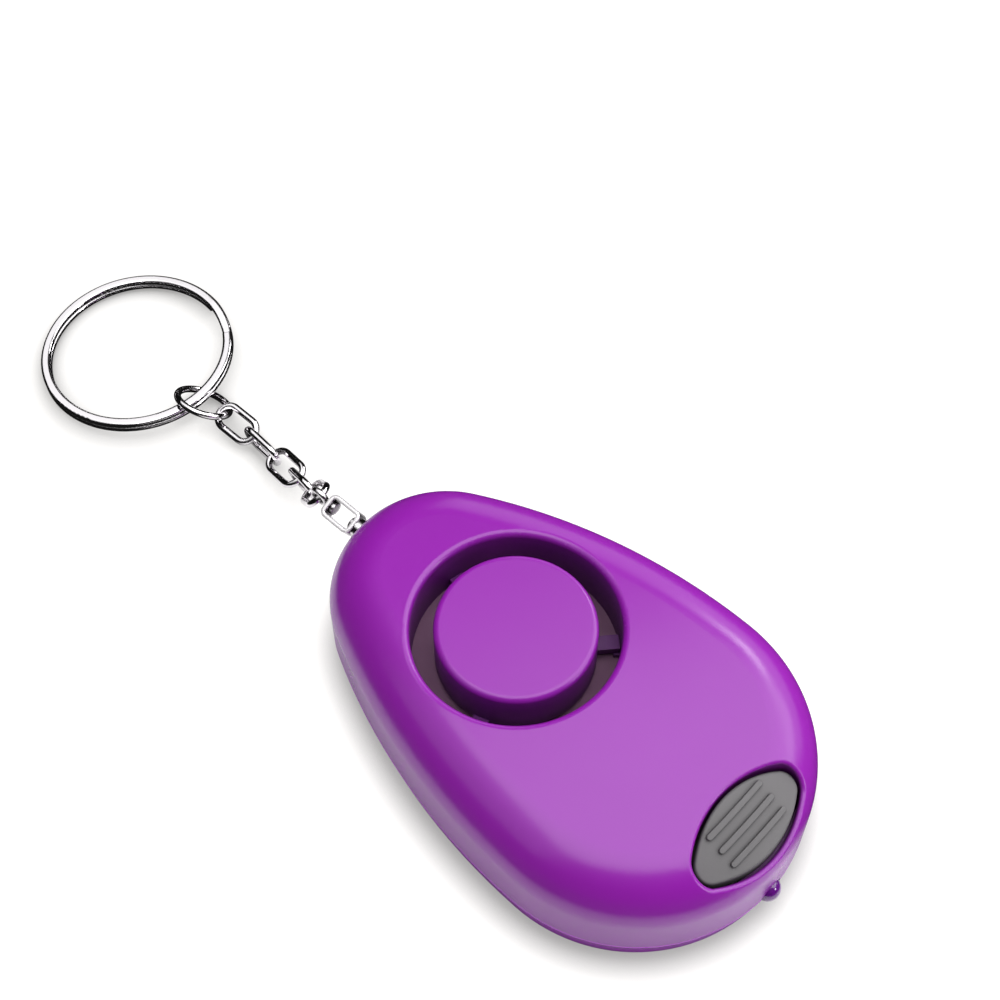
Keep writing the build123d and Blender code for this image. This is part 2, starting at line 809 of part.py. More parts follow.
# Light button: pad with a tilted crowned face, three ribs and a flange under the collar
pad_outline = button_outline(button_gap)
flange_outline = button_outline(-flange_width)
flange_room = domed_form(wall + flange_wall_gap, parting_height)
tilt = radians(button_tilt)
face_normal = Vector(sin(tilt), 0, cos(tilt))
face_centre = Vector(button_offset, 0, button_face_height)
face_plane = Plane(origin=face_centre, x_dir=(cos(tilt), 0, -sin(tilt)), z_dir=face_normal)
crown_middle = face_centre - face_normal * button_crown_radius

with BuildPart() as ribs:
    with BuildSketch(face_plane.offset(-rib_root)):
        with Locations((-rib_spacing, 0), (0, 0), (rib_spacing, 0)):
            SlotOverall(rib_length, rib_width, rotation=90)
    extrude(amount=2 * rib_root)
    with Locations(crown_middle):
        Sphere(button_crown_radius + rib_height, mode=Mode.INTERSECT)

with BuildPart() as flange:
    with BuildSketch(Plane.XY.offset(button_bottom)):
        add(flange_outline)
    extrude(amount=flange_thickness)
    add(flange_room, mode=Mode.INTERSECT)

with BuildPart() as light_button:
    with BuildSketch(Plane.XY.offset(button_bottom)):
        add(pad_outline)
    extrude(amount=crown_height)
    with Locations(crown_middle):
        Sphere(button_crown_radius, mode=Mode.INTERSECT)
    fillet(light_button.faces().sort_by(Axis.Z)[-1].edges(), radius=button_edge_radius)
    add(flange.part)
    add(ribs.part)
light_button.part.label = "light_button"
export_step(light_button.part, "parts/light_button.step")

# Socket of the pull pin with its side window
socket_front = pin_mouth + wall + socket_stand_off
socket_middle = socket_front + socket_length / 2
socket_top = pin_height + pin_radius + pin_bore_clearance + socket_roof
with BuildPart() as pin_socket:
    with BuildSketch(Plane.XY.offset(board_top)):
        with Locations((socket_middle, 0)):
            Rectangle(socket_length, socket_width)
    extrude(amount=socket_top - board_top)
    with BuildSketch(Plane.YZ.offset(socket_front)):
        with Locations((0, pin_height)):
            Circle(pin_radius + pin_bore_clearance)
    extrude(amount=socket_length, mode=Mode.SUBTRACT)
    with BuildSketch(Plane.XY.offset(board_top)):
        with Locations((socket_middle, 0)):
            Rectangle(window_length, socket_width)
    extrude(amount=socket_top - window_roof - board_top, mode=Mode.SUBTRACT)
pin_socket.part.label = "pin_socket"
export_step(pin_socket.part, "parts/pin_socket.step")

# Contact leaves either side of the pin
leaf_face = pin_radius + leaf_clearance
for leaf_name, leaf_side in [("pin_contact_left", 1), ("pin_contact_right", -1)]:
    with BuildPart() as pin_contact:
        with BuildSketch(Plane.YZ.offset(socket_middle)):
            with BuildLine():
                Polyline(
                    (leaf_side * leaf_face, board_top),
                    (leaf_side * (leaf_face + leaf_foot), board_top),
                    (leaf_side * (leaf_face + leaf_foot), board_top + leaf_thickness),
                    (leaf_side * (leaf_face + leaf_thickness), board_top + leaf_thickness),
                    (leaf_side * (leaf_face + leaf_thickness), board_top + leaf_height),
                    (leaf_side * leaf_face, board_top + leaf_height),
                    close=True,
                )
            make_face()
        extrude(amount=leaf_length / 2, both=True)
    pin_contact.part.label = leaf_name
    export_step(pin_contact.part, f"parts/{leaf_name}.step")

# Pull pin: rod, neck through the swivel frame and riveted head
pin_tip = pin_mouth + pin_insertion
neck_end = swivel_face - frame_strip
with BuildPart() as pull_pin:
    with BuildSketch(Plane.YZ.offset(pin_tip)):
        with Locations((0, pin_height)):
            Circle(pin_radius)
    extrude(amount=swivel_face - pin_tip)
    fillet(pull_pin.faces().sort_by(Axis.X)[-1].edges(), radius=pin_tip_radius)
    with BuildSketch(Plane.YZ.offset(swivel_face)):
        with Locations((0, pin_height)):
            Circle(pin_neck_radius)
    extrude(amount=neck_end - swivel_face)
    with BuildSketch(Plane.YZ.offset(neck_end)):
        with Locations((0, pin_height)):
            Circle(pin_head_radius)
    extrude(amount=-pin_head_thickness)
    fillet(pull_pin.faces().sort_by(Axis.X)[0].edges(), radius=pin_head_edge_radius)
pull_pin.part.label = "pull_pin"
export_step(pull_pin.part, "parts/pull_pin.step")

# Swivel frame: a closed strip, rolled about the pin
roll = radians(frame_roll)
frame_plane = Plane(
    origin=(swivel_face, 0, pin_height), x_dir=(-1, 0, 0), z_dir=(0, sin(roll), -cos(roll))
)
frame_far = swivel_face - frame_length
with BuildPart() as swivel_frame:
    with BuildSketch(frame_plane):
        with Locations((frame_length / 2, 0)):
            RectangleRounded(frame_length, frame_depth, frame_corner_radius)
            RectangleRounded(
                frame_length - 2 * frame_strip,
                frame_depth - 2 * frame_strip,
                frame_inner_radius,
                mode=Mode.SUBTRACT,
            )
    extrude(amount=frame_width / 2, both=True)
    with BuildSketch(Plane.YZ.offset(swivel_face)):
        with Locations((0, pin_height)):
            Circle(pin_neck_radius + rivet_clearance)
    extrude(amount=-frame_strip, mode=Mode.SUBTRACT)
    with BuildSketch(Plane.YZ.offset(frame_far)):
        with Locations((0, pin_height)):
            Circle(eye_neck_radius + eye_clearance)
    extrude(amount=frame_strip, mode=Mode.SUBTRACT)
swivel_frame.part.label = "swivel_frame"
export_step(swivel_frame.part, "parts/swivel_frame.step")

# Swivel eye: head inside the frame, neck through it and the eye outside
eye_turn = radians(eye_roll)
eye_centre_x = frame_far - eye_stand_off - eye_radius - eye_wire_radius
eye_head_face = frame_far + frame_strip + eye_clearance
eye_plane = Plane(
    origin=(eye_centre_x, 0, pin_height), x_dir=(-1, 0, 0), z_dir=(0, sin(eye_turn), -cos(eye_turn))
)
with BuildPart() as swivel_eye:
    with BuildSketch(Plane.YZ.offset(eye_head_face)):
        with Locations((0, pin_height)):
            Circle(eye_head_radius)
    extrude(amount=eye_head_thickness)
    with BuildSketch(Plane.YZ.offset(eye_head_face)):
        with Locations((0, pin_height)):
            Circle(eye_neck_radius)
    extrude(amount=eye_centre_x + eye_radius + eye_clearance - eye_head_face)
    with Locations(eye_plane):
        Torus(eye_radius, eye_wire_radius)
swivel_eye.part.label = "swivel_eye"
export_step(swivel_eye.part, "parts/swivel_eye.step")


def link_plane(contact, angles, reach):
    """Plane of a link that hooks in at contact, its origin reach along from there."""
    azimuth, droop, roll_angle = (radians(angle) for angle in angles)
    along = Vector(-cos(droop) * cos(azimuth), cos(droop) * sin(azimuth), -sin(droop))
    side = along.cross(Vector(0, 0, 1)).normalized()
    up = side.cross(along)
    across = side * cos(roll_angle) + up * sin(roll_angle)
    return Plane(origin=contact + along * reach, x_dir=along, z_dir=along.cross(across))


def wire_loop(plane, length, width):
    """Closed loop of round chain wire, length by width over all, lying in plane."""
    bend = (width - link_wire) / 2
    straight = (length - width) / 2
    with BuildPart() as loop:
        with BuildLine(plane) as path:
            Line((-straight, -bend), (straight, -bend))
            CenterArc((straight, 0), bend, -90, 180)
            Line((straight, bend), (-straight, bend))
            CenterArc((-straight, 0), bend, 90, 180)
        with BuildSketch(Plane(origin=path.line @ 0, z_dir=path.line % 0)):
            Circle(link_wire / 2)
        sweep()
    return loop.part


# Chain: each link hooks into the one before at a contact point, the first one into the eye
link_step = link_length - 2 * link_wire - link_gap
eye_reach = eye_radius - eye_wire_radius - link_gap / 2
contact_point = link_plane(Vector(eye_centre_x, 0, pin_height), link_angles[0], eye_reach).origin
for link_number, angles in enumerate(link_angles, start=1):
    place = link_plane(contact_point, angles, link_step / 2)
    with BuildPart() as chain_link:
        add(wire_loop(place, link_length, link_width))
    chain_link.part.label = f"chain_link_{link_number}"
    export_step(chain_link.part, f"parts/chain_link_{link_number}.step")
    contact_point = contact_point + place.x_dir * link_step

jump_ring_radius = (jump_ring_diameter - link_wire) / 2
jump_ring_reach = jump_ring_radius - (link_gap + link_wire) / 2
jump_ring_plane = link_plane(contact_point, jump_ring_angles, jump_ring_reach)
with BuildPart() as jump_ring:
    with Locations(jump_ring_plane):
        Torus(jump_ring_radius, link_wire / 2)
jump_ring.part.label = "jump_ring"
export_step(jump_ring.part, "parts/jump_ring.step")

# Split ring: two flat turns of one band joined by a ramp, hooked through the jump ring
ring_tilt = atan2(ring_lift, 2 * ring_outer_radius)
ring_pitch = ring_turn_height + ring_turn_gap
band_middle = ring_outer_radius - ring_band_width / 2
ring_x = jump_ring_plane.origin.X - ring_hook_reach - band_middle
ring_plane = Plane(
    origin=(ring_x, jump_ring_plane.origin.Y, ring_lift / 2),
    x_dir=(cos(ring_tilt), 0, sin(ring_tilt)),
    z_dir=(-sin(ring_tilt), 0, cos(ring_tilt)),
)
ring_axis = Axis(ring_plane.origin, ring_plane.z_dir)
jog_start = ring_jog_middle - ring_jog_angle / 2
jog_end = ring_jog_middle + ring_jog_angle / 2
ramp_shares = [0, 0.25, 0.5, 0.75, 1]


def band_plane(angle, height):
    """Plane across the band of the split ring at an angle round it and a height above its base."""
    turn = radians(angle)
    outward = ring_plane.x_dir * cos(turn) + ring_plane.y_dir * sin(turn)
    middle = ring_plane.origin + outward * band_middle + ring_plane.z_dir * height
    return Plane(origin=middle, x_dir=outward, z_dir=outward.cross(ring_plane.z_dir))


with BuildPart() as key_ring:
    for turn_height in (ring_turn_height / 2, ring_turn_height / 2 + ring_pitch):
        with BuildSketch(band_plane(jog_end, turn_height)):
            RectangleRounded(ring_band_width, ring_turn_height, ring_edge_radius)
        revolve(axis=ring_axis, revolution_arc=360 - ring_jog_angle)
    for ramp_share in ramp_shares:
        rise = ring_pitch * ramp_share * ramp_share * (3 - 2 * ramp_share)
        ramp_angle = jog_start + ring_jog_angle * ramp_share
        with BuildSketch(band_plane(ramp_angle, ring_turn_height / 2 + rise)):
            RectangleRounded(ring_band_width, ring_turn_height, ring_edge_radius)
    loft()
key_ring.part.label = "key_ring"
export_step(key_ring.part, "parts/key_ring.step")
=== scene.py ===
"""Personal safety alarm with its chain and split ring, lying on a white table."""
import math

import bpy
from mathutils import Matrix, Vector

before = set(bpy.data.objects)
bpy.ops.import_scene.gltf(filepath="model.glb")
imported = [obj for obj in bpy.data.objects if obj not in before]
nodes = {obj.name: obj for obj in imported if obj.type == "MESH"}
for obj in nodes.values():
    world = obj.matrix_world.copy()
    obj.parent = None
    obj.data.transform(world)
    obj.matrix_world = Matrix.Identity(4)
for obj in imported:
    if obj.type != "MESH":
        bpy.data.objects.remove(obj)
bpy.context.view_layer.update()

MM = 0.001

# Camera of the photograph: its turn round the housing, its height above the table and its distance
CAMERA_TURN = math.radians(-42.66)
CAMERA_ELEVATION = math.radians(58.62)
CAMERA_DISTANCE = 211.4 * MM
CAMERA_LENS = 69.12
CAMERA_SENSOR = 36.0
CAMERA_NEAR = 10.0 * MM
CAMERA_TARGET = Vector((-6.7, 0.0, 17.44)) * MM
CAMERA_RIGHT_SHIFT = -1.767 * MM
CAMERA_UP_SHIFT = 14.098 * MM

# Light: watts, and width and height in metres, of the six soft boxes
LIGHT_DISTANCE = 0.6
KEY_POWER = 0.45
KEY_SIZE = (0.12, 0.12)
VEIL_POWER = 6.2
VEIL_SIZE = (0.6, 1.2)
RIM_POWER = 0.45
RIM_SIZE = (0.1, 0.1)
BACK_POWER = 1.6
BACK_SIZE = (1.0, 0.42)
LEFT_POWER = 0.45
LEFT_SIZE = (0.45, 0.45)
PLATED_POWER = 1.7
PLATED_SIZE = (0.6, 0.85)

# Room: brightness of its light from the dark side to the bright one, and in reflections by height
AMBIENT_LOW = 0.05
AMBIENT_HIGH = 0.26
AMBIENT_SPAN = (-0.1, 0.9)
AMBIENT_SIDE_SHARES = (-0.1, -0.35, 0.9)
ROOM_LOW = 0.005
ROOM_HIGH = 0.4
ROOM_SPAN = (0.6, 0.95)
BACKDROP_GLOW = 1.0
WHITE = (1.0, 1.0, 1.0, 1.0)

# Table: what it adds to the camera's view and to reflections, and how far the reflected white reaches
TABLE_SIZE = 6.0
TABLE_DROP = 0.1 * MM
TABLE_SHADE_GLOW = 0.36
TABLE_GLOW = 1.0
TABLE_SHADE_REACH = 4.2 * MM
TABLE_SHADE_SPAN = (0.48, 0.985)
TABLE_SHADE_SAMPLES = 16
TABLE_SEEN = (0.2, 0.2, 0.2, 1.0)
TABLE_PALE = (0.82, 0.82, 0.82, 1.0)
TABLE_DARK = (0.01, 0.01, 0.01, 1.0)
TABLE_GLOW_COLOUR = (1.0, 0.985, 0.97, 1.0)
TABLE_REFLECTED_GLOW = 0.25
TABLE_WHITE_REACH = 43.0 * MM
TABLE_WHITE_FADE = 5.0 * MM
TABLE_WHITE_START = -10.0 * MM
TABLE_WHITE_END = 11.0 * MM
TABLE_DARK_SIDE = 6.0 * MM
TABLE_DARK_FADE = 8.0 * MM

# What all surfaces share. A scale is in features per metre, a span is the part of a noise or of the
# openness that a change runs over, and a tint is a factor on the colour.
BROAD_SCALE = 70.0
BROAD_DETAIL = 4.0
BROAD_SPAN = (0.3, 0.7)
SMUDGE_SCALE = 420.0
SMUDGE_DETAIL = 5.0
SMUDGE_COARSENESS = 0.62
SMUDGE_SPAN = (0.3, 0.75)
SMUDGE_GLOSSIER = 0.06
SMUDGE_DULLER = 0.08
EDGE_SAMPLES = 4
# Edges made lighter, partly as rubbed edges and partly as painted highlight, and duller where rubbed
LIGHTER_EDGE_FACING_SPAN = (0.995, 0.9)
LIGHTER_EDGE_PATCH_SPAN = (0.35, 0.65)
LIGHTER_EDGE_PATCH_LOW = 0.35
LIGHTER_EDGE_TINT = 1.5
WORN_DULLER = 0.2
# Painted shade: a darker colour, with a duller gloss, where corners and gaps shut out the open
PAINTED_SHADE_SAMPLES = 8
PAINTED_SHADE_SPAN = (0.35, 0.92)
PAINTED_SHADE_TINT = 0.25
GRIME_DULLER = 0.25
# A fine line along the parting of the shells: painted highlight where lighter, painted shade where darker
SEAM_HALF_WIDTH = 0.1 * MM
SEAM_FADE_END = 0.2 * MM
SEAM_STRENGTH = 0.9
SCRATCH_TURN = (0.3, 0.2, 0.7)
SCRATCH_STRETCH = (1.0, 14.0, 1.0)
SCRATCH_SCALE = 700.0
SCRATCH_DETAIL = 2.0
SCRATCH_SPAN = (0.66, 0.7)
GRAIN_DEPTH = 0.02 * MM
COAT_ROUGHNESS = 0.06

# Camera axes in the part's frame, and the heading along the table away from the camera
right = Vector((math.cos(CAMERA_TURN), -math.sin(CAMERA_TURN), 0))
up = Vector((
    math.sin(CAMERA_TURN) * math.sin(CAMERA_ELEVATION),
    math.cos(CAMERA_TURN) * math.sin(CAMERA_ELEVATION),
    math.cos(CAMERA_ELEVATION),
))
back = right.cross(up)
away = Vector((math.sin(CAMERA_TURN), math.cos(CAMERA_TURN), 0))


def heading(away_share, right_share, upright_share):
    """Direction made of shares of away from the camera, to its right and straight up."""
    return (away * away_share + right * right_share + Vector((0, 0, upright_share))).normalized()


def srgb(red, green, blue):
    """Linear colour, with alpha, of a colour given as 0 to 255."""
    channels = []
    for value in (red, green, blue):
        share = value / 255
        channels.append(share / 12.92 if share <= 0.04045 else ((share + 0.055) / 1.055) ** 2.4)
    return (*channels, 1.0)


def tinted(colour, tint):
    """colour made lighter, or darker where tint is below 1."""
    return (*[min(1.0, channel * tint) for channel in colour[:3]], 1.0)


class Tree:
    """A node tree with short calls that add a node, set its inputs and link what is a socket."""

    def __init__(self, tree):
        self.nodes = tree.nodes
        self.links = tree.links
        self.nodes.clear()

    def put(self, socket, value):
        """Links value to socket where value is an output, else writes it as the socket's value."""
        if isinstance(value, bpy.types.NodeSocket):
            self.links.new(value, socket)
        else:
            socket.default_value = value

    def add(self, kind, values=(), **settings):
        """New node of that kind, with its settings and its (input, value) pairs."""
        node = self.nodes.new("ShaderNode" + kind)
        for name, value in settings.items():
            setattr(node, name, value)
        for name, value in values:
            self.put(node.inputs[name], value)
        return node

    def math(self, operation, *values):
        """Output of a math node."""
        node = self.add("Math", list(enumerate(values)), operation=operation)
        return node.outputs[0]

    def product(self, first, *others):
        """Output of the math nodes that multiply all of these."""
        for other in others:
            first = self.math("MULTIPLY", first, other)
        return first

    def parts(self, vector):
        """Node whose outputs X, Y and Z are those of the vector."""
        return self.add("SeparateXYZ", (("Vector", vector),))

    def spread(self, value, span, to_low, to_high):
        """value carried from its span to the range to_low..to_high, clamped."""
        node = self.add("MapRange", (
            ("Value", value), ("From Min", span[0]), ("From Max", span[1]),
            ("To Min", to_low), ("To Max", to_high),
        ))
        return node.outputs["Result"]

    def noise(self, place, scale, detail=3.0, coarseness=0.5):
        """Output of a noise of that many features per metre."""
        node = self.add("TexNoise", (
            ("Vector", place), ("Scale", scale), ("Detail", detail), ("Roughness", coarseness),
        ))
        return node.outputs["Fac"]

    def openness(self, reach, samples, only_local=False):
        """Output that is 1 in the open and falls to 0 where something within reach covers the spot."""
        node = self.add(
            "AmbientOcclusion", (("Distance", reach),), samples=samples, only_local=only_local,
        )
        return node.outputs["AO"]

    def blend(self, share, first, second):
        """Colour between first and second."""
        # A colour mix takes its two colours at inputs 6 and 7 and gives the result at output 2
        node = self.add("Mix", (("Factor", share), (6, first), (7, second)), data_type="RGBA")
        return node.outputs[2]

    def value_blend(self, share, first, second):
        """Number between first and second."""
        # A number mix takes its two numbers at inputs 2 and 3 and gives the result at output 0
        node = self.add("Mix", (("Factor", share), (2, first), (3, second)), data_type="FLOAT")
        return node.outputs[0]

    def show(self, kind, socket):
        """Links a shader's output to the surface of a new output node of that kind."""
        self.links.new(socket, self.add(kind).inputs["Surface"])


def surface(name, colour, roughness, metallic=0.0, grain=0.1, grain_scale=2600.0, mottling=0.04,
            edge=0.08, edge_lightening=0.3, crevice=0.35, crevice_reach=0.8, scratches=0.0, specular=0.5,
            coat=0.0, neighbours=False, seam=None, smudges=1.0):
    """Material with lighter rounded edges, partly rubbed and partly painted highlight, painted shade in
    its corners, smudges and a fine grain.

    edge is the radius in mm of the lighter edges, and crevice_reach how far in mm the painted shade, with
    its duller gloss, reaches out of a corner. With neighbours, a gap to another piece gets painted shade
    as a corner does. seam is (height in mm, tint) of a fine line round the piece where it meets the other
    shell: painted highlight where the tint is above 1 and painted shade where it is below. smudges scales
    how much the gloss varies.
    """
    material = bpy.data.materials.new(name)
    material.use_nodes = True
    tree = Tree(material.node_tree)
    place = tree.add("TexCoord").outputs["Object"]
    rounded = tree.add("Bevel", (("Radius", edge * MM),), samples=EDGE_SAMPLES).outputs["Normal"]
    flat = tree.add("NewGeometry").outputs["Normal"]
    facing = tree.add("VectorMath", ((0, rounded), (1, flat)), operation="DOT_PRODUCT").outputs["Value"]
    broad = tree.noise(place, BROAD_SCALE, BROAD_DETAIL)
    smudge = tree.noise(place, SMUDGE_SCALE, SMUDGE_DETAIL, SMUDGE_COARSENESS)
    height = tree.noise(place, grain_scale)

    # Lighter edges: partly rubbed, partly painted highlight
    lighter_edges = tree.product(
        tree.spread(facing, LIGHTER_EDGE_FACING_SPAN, 0.0, edge_lightening),
        tree.spread(smudge, LIGHTER_EDGE_PATCH_SPAN, LIGHTER_EDGE_PATCH_LOW, 1.0),
    )
    # Painted shade in corners and in gaps to other pieces, which also dulls the gloss there
    open_share = tree.openness(crevice_reach * MM, PAINTED_SHADE_SAMPLES, only_local=not neighbours)
    painted_corner_shade = tree.spread(open_share, PAINTED_SHADE_SPAN, crevice, 0.0)
    base = tree.blend(
        tree.spread(broad, BROAD_SPAN, 0.0, 1.0),
        tinted(colour, 1 - mottling), tinted(colour, 1 + mottling),
    )
    base = tree.blend(lighter_edges, base, tinted(colour, LIGHTER_EDGE_TINT))
    base = tree.blend(painted_corner_shade, base, tinted(colour, PAINTED_SHADE_TINT))
    # A line along the parting of the shells: painted highlight where the tint is above 1, painted shade
    # where it is below
    if seam:
        seam_height, seam_tint = seam
        off_seam = tree.math("SUBTRACT", tree.parts(place).outputs["Z"], seam_height * MM)
        off_seam = tree.math("ABSOLUTE", off_seam)
        on_seam = tree.spread(off_seam, (SEAM_HALF_WIDTH, SEAM_FADE_END), SEAM_STRENGTH, 0.0)
        base = tree.blend(on_seam, base, tinted(colour, seam_tint))

    glossier = roughness * (1 - SMUDGE_GLOSSIER * smudges)
    duller = roughness * (1 + SMUDGE_DULLER * smudges)
    rough = tree.spread(smudge, SMUDGE_SPAN, glossier, duller)
    rough = tree.math("ADD", rough, tree.product(lighter_edges, WORN_DULLER))
    rough = tree.math("ADD", rough, tree.product(painted_corner_shade, GRIME_DULLER))

    if scratches:
        drawn = tree.add("Mapping", (
            ("Vector", place), ("Rotation", SCRATCH_TURN), ("Scale", SCRATCH_STRETCH),
        ))
        lines = tree.noise(drawn.outputs["Vector"], SCRATCH_SCALE, SCRATCH_DETAIL)
        height = tree.math("SUBTRACT", height, tree.spread(lines, SCRATCH_SPAN, 0.0, scratches))
    bump = tree.add("Bump", (
        ("Strength", grain), ("Distance", GRAIN_DEPTH), ("Height", height), ("Normal", rounded),
    ))
    shader = tree.add("BsdfPrincipled", (
        ("Base Color", base), ("Roughness", rough), ("Metallic", metallic),
        ("Normal", bump.outputs["Normal"]), ("Specular IOR Level", specular),
        ("Coat Weight", coat), ("Coat Roughness", COAT_ROUGHNESS),
    ))
    tree.show("OutputMaterial", shader.outputs["BSDF"])
    return material


# Materials that show
# Front shell: its lighter lips and its parting line are painted highlight, its well and the gaps round it
# painted shade
shell = surface("shell_plastic", srgb(137, 27, 159), 0.25, grain=0.035, mottling=0.015, edge=0.14,
                edge_lightening=0.35, crevice=0.97, crevice_reach=4.0, neighbours=True, seam=(4.95, 2.2))
# Cap: painted shade in the well round it
cap_plastic = surface("cap_plastic", srgb(137, 27, 159), 0.26, grain=0.02, mottling=0.015, edge=0.0,
                      edge_lightening=0.0, crevice=0.96, crevice_reach=3.4, neighbours=True, smudges=0.15)
# Rear shell: a line of painted shade along the parting, and painted shade in gaps
rear = surface("rear_plastic", srgb(136, 29, 158), 0.42, grain=0.06, mottling=0.02, edge=0.12,
               edge_lightening=0.1, crevice=0.6, crevice_reach=4.0, specular=0.1, neighbours=True, seam=(4.65, 0.3))
# Button: painted shade round its ribs and in the gap round it
rubber = surface("button_rubber", srgb(106, 104, 106), 0.55, grain=0.4, grain_scale=3200.0, edge=0.18,
                 edge_lightening=0.1, crevice=0.9, crevice_reach=0.9, specular=0.4, neighbours=True)
plated = {
    "metallic": 1.0, "grain": 0.05, "grain_scale": 1500.0, "mottling": 0.02, "edge_lightening": 0.1,
    "scratches": 0.5, "neighbours": True,
}
# Plated steel: painted shade where the links and the swivel's parts touch
chrome = surface("plated_steel", srgb(232, 229, 232), 0.07, edge=0.16, crevice=0.9,
                 crevice_reach=0.6, **plated)
swivel_chrome = surface("swivel_steel", srgb(232, 229, 232), 0.08, edge=0.4, crevice=0.95,
                        crevice_reach=1.2, **plated)
siren_metal = surface("siren_metal", srgb(120, 84, 112), 0.6, metallic=0.4, grain=0.2, scratches=0.5)
lens = surface("lamp_lens", srgb(92, 20, 120), 0.12, edge=0.05, edge_lightening=0.1, crevice=0.6, coat=0.7)
screw_steel = surface("screw_steel", srgb(170, 170, 174), 0.3, metallic=1.0, grain=0.15, scratches=0.5)

# Materials inside the housing
ceramic = surface("ceramic", srgb(222, 219, 208), 0.5, grain=0.2)
black_plastic = surface("black_plastic", srgb(38, 38, 40), 0.45, grain=0.3)
board_green = surface("board_green", srgb(28, 92, 52), 0.35, grain=0.15)
ferrite = surface("ferrite", srgb(56, 54, 54), 0.6, grain=0.4)
copper = surface("copper", srgb(190, 100, 56), 0.3, metallic=0.9, grain=0.3)
aluminium = surface("aluminium", srgb(196, 197, 200), 0.32, metallic=1.0)
contact_brass = surface("contact_brass", srgb(205, 186, 140), 0.28, metallic=1.0)
tinned = surface("tinned", srgb(200, 200, 202), 0.3, metallic=1.0)
red_wire = surface("red_wire", srgb(170, 24, 24), 0.4)
black_wire = surface("black_wire", srgb(22, 22, 22), 0.4)
cell_steel = surface("cell_steel", srgb(206, 206, 206), 0.22, metallic=1.0, scratches=0.6)

painted = {
    shell: ["front_shell"],
    cap_plastic: ["siren_cap"],
    rear: ["rear_shell"],
    rubber: ["light_button"],
    chrome: [
        "chain_link_1", "chain_link_2", "chain_link_3", "chain_link_4", "chain_link_5",
        "jump_ring", "key_ring",
    ],
    swivel_chrome: ["pull_pin", "swivel_frame", "swivel_eye"],
    siren_metal: ["piezo_plate"],
    ceramic: ["piezo_ceramic"],
    black_plastic: [
        "buzzer_ring", "pin_socket", "cell_holder", "switch_body", "switch_plunger", "driver_chip",
        "transistor", "lamp_resistor",
    ],
    board_green: ["circuit_board"],
    ferrite: ["coil_core"],
    copper: ["coil_winding"],
    aluminium: ["capacitor"],
    contact_brass: [
        "pin_contact_left", "pin_contact_right", "positive_contact", "cell_link_lower",
        "cell_link_upper", "negative_contact",
    ],
    tinned: ["lamp_leads", "switch_legs"],
    red_wire: ["piezo_lead_red"],
    black_wire: ["piezo_lead_black"],
    cell_steel: ["button_cell_1", "button_cell_2", "button_cell_3"],
    screw_steel: ["housing_screws"],
    lens: ["lamp"],
}
for material, names in painted.items():
    for name in names:
        mesh = nodes[name].data
        mesh.materials.clear()
        mesh.materials.append(material)

# Table: white to the camera where it isn't shaded, and in reflections white near the housing only
bpy.ops.mesh.primitive_plane_add(size=TABLE_SIZE, location=(0, 0, -TABLE_DROP))
table = bpy.context.object
table.name = "table"
table_material = bpy.data.materials.new("table_white")
table_material.use_nodes = True
tree = Tree(table_material.node_tree)
spot = tree.parts(tree.add("NewGeometry").outputs["Position"]).outputs
nearest = tree.add("Clamp", (
    ("Value", spot["X"]), ("Min", TABLE_WHITE_START), ("Max", TABLE_WHITE_END),
))
beside = tree.math("SUBTRACT", spot["X"], nearest.outputs["Result"])
distance = tree.math(
    "SQRT", tree.math("ADD", tree.product(beside, beside), tree.product(spot["Y"], spot["Y"])),
)
zone = tree.product(
    tree.spread(distance, (TABLE_WHITE_REACH, TABLE_WHITE_REACH + TABLE_WHITE_FADE), 1.0, 0.0),
    tree.spread(spot["Y"], (TABLE_DARK_SIDE, TABLE_DARK_SIDE + TABLE_DARK_FADE), 1.0, 0.0),
)
rays = tree.add("LightPath").outputs
open_share = tree.openness(TABLE_SHADE_REACH, TABLE_SHADE_SAMPLES)
shade = tree.spread(open_share, TABLE_SHADE_SPAN, TABLE_SHADE_GLOW, TABLE_GLOW)
reflected = tree.blend(tree.product(zone, shade), TABLE_DARK, TABLE_PALE)
unseen = tree.blend(rays["Is Glossy Ray"], TABLE_PALE, reflected)
diffuse = tree.add("BsdfDiffuse", (("Color", tree.blend(rays["Is Camera Ray"], unseen, TABLE_SEEN)),))
reflected_glow = tree.product(
    rays["Is Glossy Ray"], zone, TABLE_REFLECTED_GLOW, tree.product(shade, shade),
)
glow_strength = tree.value_blend(rays["Is Camera Ray"], reflected_glow, shade)
glow = tree.add("Emission", (("Color", TABLE_GLOW_COLOUR), ("Strength", glow_strength)))
both = tree.add("AddShader", ((0, diffuse.outputs["BSDF"]), (1, glow.outputs["Emission"])))
tree.show("OutputMaterial", both.outputs["Shader"])
table.data.materials.append(table_material)

# Room: white to the camera, brighter overhead than round about in reflections, lit from above and one side
world = bpy.data.worlds.new("studio")
bpy.context.scene.world = world
world.use_nodes = True
tree = Tree(world.node_tree)
sight = tree.add("TexCoord").outputs["Generated"]
rays = tree.add("LightPath").outputs
room = tree.spread(tree.parts(sight).outputs["Z"], ROOM_SPAN, ROOM_LOW, ROOM_HIGH)
bright_side = tree.add(
    "VectorMath", ((0, sight), (1, heading(*AMBIENT_SIDE_SHARES))), operation="DOT_PRODUCT",
)
ambient = tree.spread(bright_side.outputs["Value"], AMBIENT_SPAN, AMBIENT_LOW, AMBIENT_HIGH)
strength = tree.value_blend(rays["Is Glossy Ray"], ambient, room)
strength = tree.value_blend(rays["Is Camera Ray"], strength, BACKDROP_GLOW)
backdrop = tree.add("Background", (("Color", WHITE), ("Strength", strength)))
tree.show("OutputWorld", backdrop.outputs["Background"])


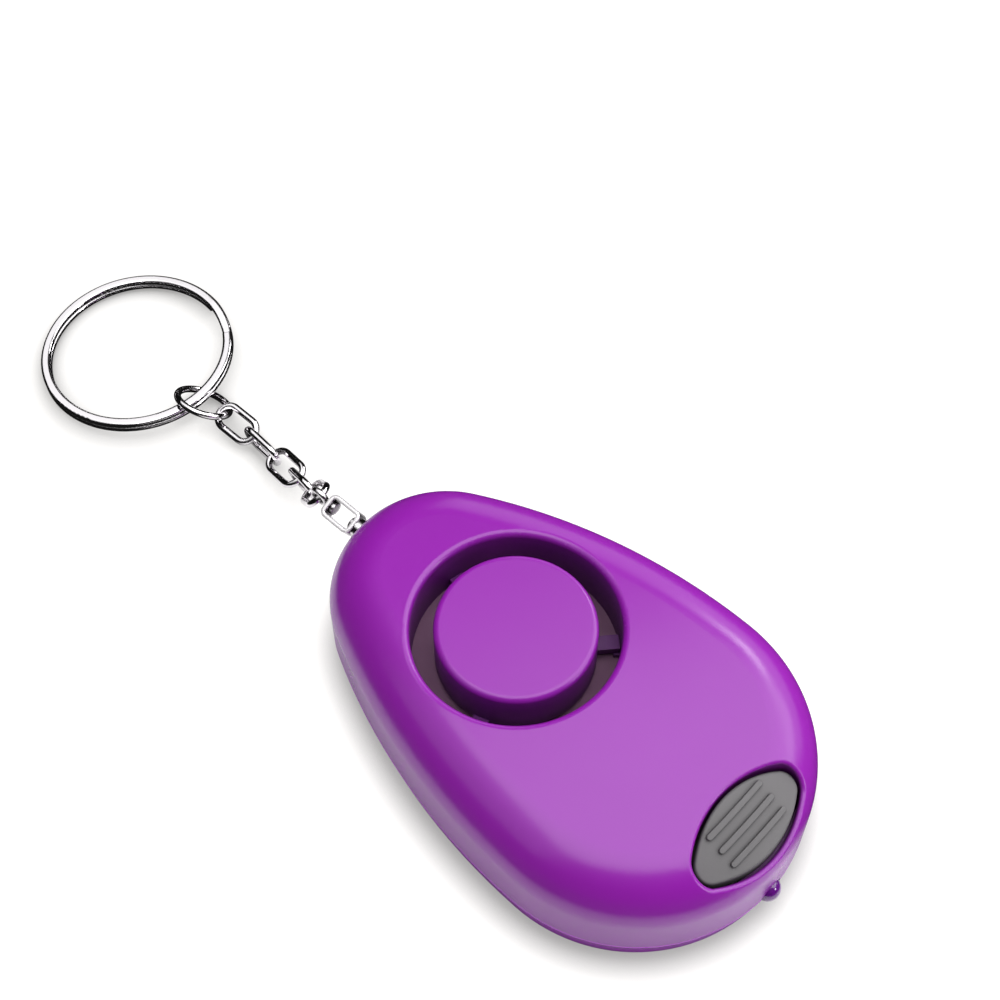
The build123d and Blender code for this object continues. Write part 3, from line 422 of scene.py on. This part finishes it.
def area_light(name, place, size, power):
    """Rectangular soft box at place that faces the housing, in metres and watts."""
    data = bpy.data.lights.new(name, "AREA")
    data.shape = "RECTANGLE"
    data.size, data.size_y = size
    data.energy = power
    light = bpy.data.objects.new(name, data)
    bpy.context.scene.collection.objects.link(light)
    light.location = place
    light.rotation_euler = (-place).to_track_quat("-Z", "Y").to_euler()
    return light


def lights_only(light, materials):
    """Makes light fall only on the pieces of these materials."""
    receivers = bpy.data.collections.new(light.name + "_receivers")
    for material in materials:
        for name in painted[material]:
            receivers.objects.link(nodes[name])
    light.light_linking.receiver_collection = receivers


soft_boxes = {
    # name: (heading from the housing, size, watts)
    "key": (heading(0.75, 0.6, 0.6), KEY_SIZE, KEY_POWER),
    "veil": (heading(0.08, 0.38, 0.92), VEIL_SIZE, VEIL_POWER),
    "rim": (heading(-0.34, 0.86, 0.35), RIM_SIZE, RIM_POWER),
    "back_card": (heading(0.8, 0.6, 0.42), BACK_SIZE, BACK_POWER),
    "left_card": (heading(-0.25, -0.65, 0.72), LEFT_SIZE, LEFT_POWER),
    "plated_card": (heading(0.2, -0.25, 0.9), PLATED_SIZE, PLATED_POWER),
}
lights = {
    name: area_light(name, LIGHT_DISTANCE * toward, size, power)
    for name, (toward, size, power) in soft_boxes.items()
}
moulded = (shell, cap_plastic, rear, lens)
lights_only(lights["back_card"], moulded)
lights_only(lights["left_card"], moulded)
lights_only(lights["plated_card"], (chrome, swivel_chrome))

camera_data = bpy.data.cameras.new("camera")
camera_data.lens = CAMERA_LENS
camera_data.sensor_width = CAMERA_SENSOR
camera_data.clip_start = CAMERA_NEAR
camera = bpy.data.objects.new("camera", camera_data)
bpy.context.scene.collection.objects.link(camera)
stand = CAMERA_TARGET + right * CAMERA_RIGHT_SHIFT + up * CAMERA_UP_SHIFT + back * CAMERA_DISTANCE
camera.matrix_world = Matrix((
    (right.x, up.x, back.x, stand.x),
    (right.y, up.y, back.y, stand.y),
    (right.z, up.z, back.z, stand.z),
    (0, 0, 0, 1),
))
bpy.context.scene.camera = camera
bpy.context.scene.view_settings.view_transform = "Standard"
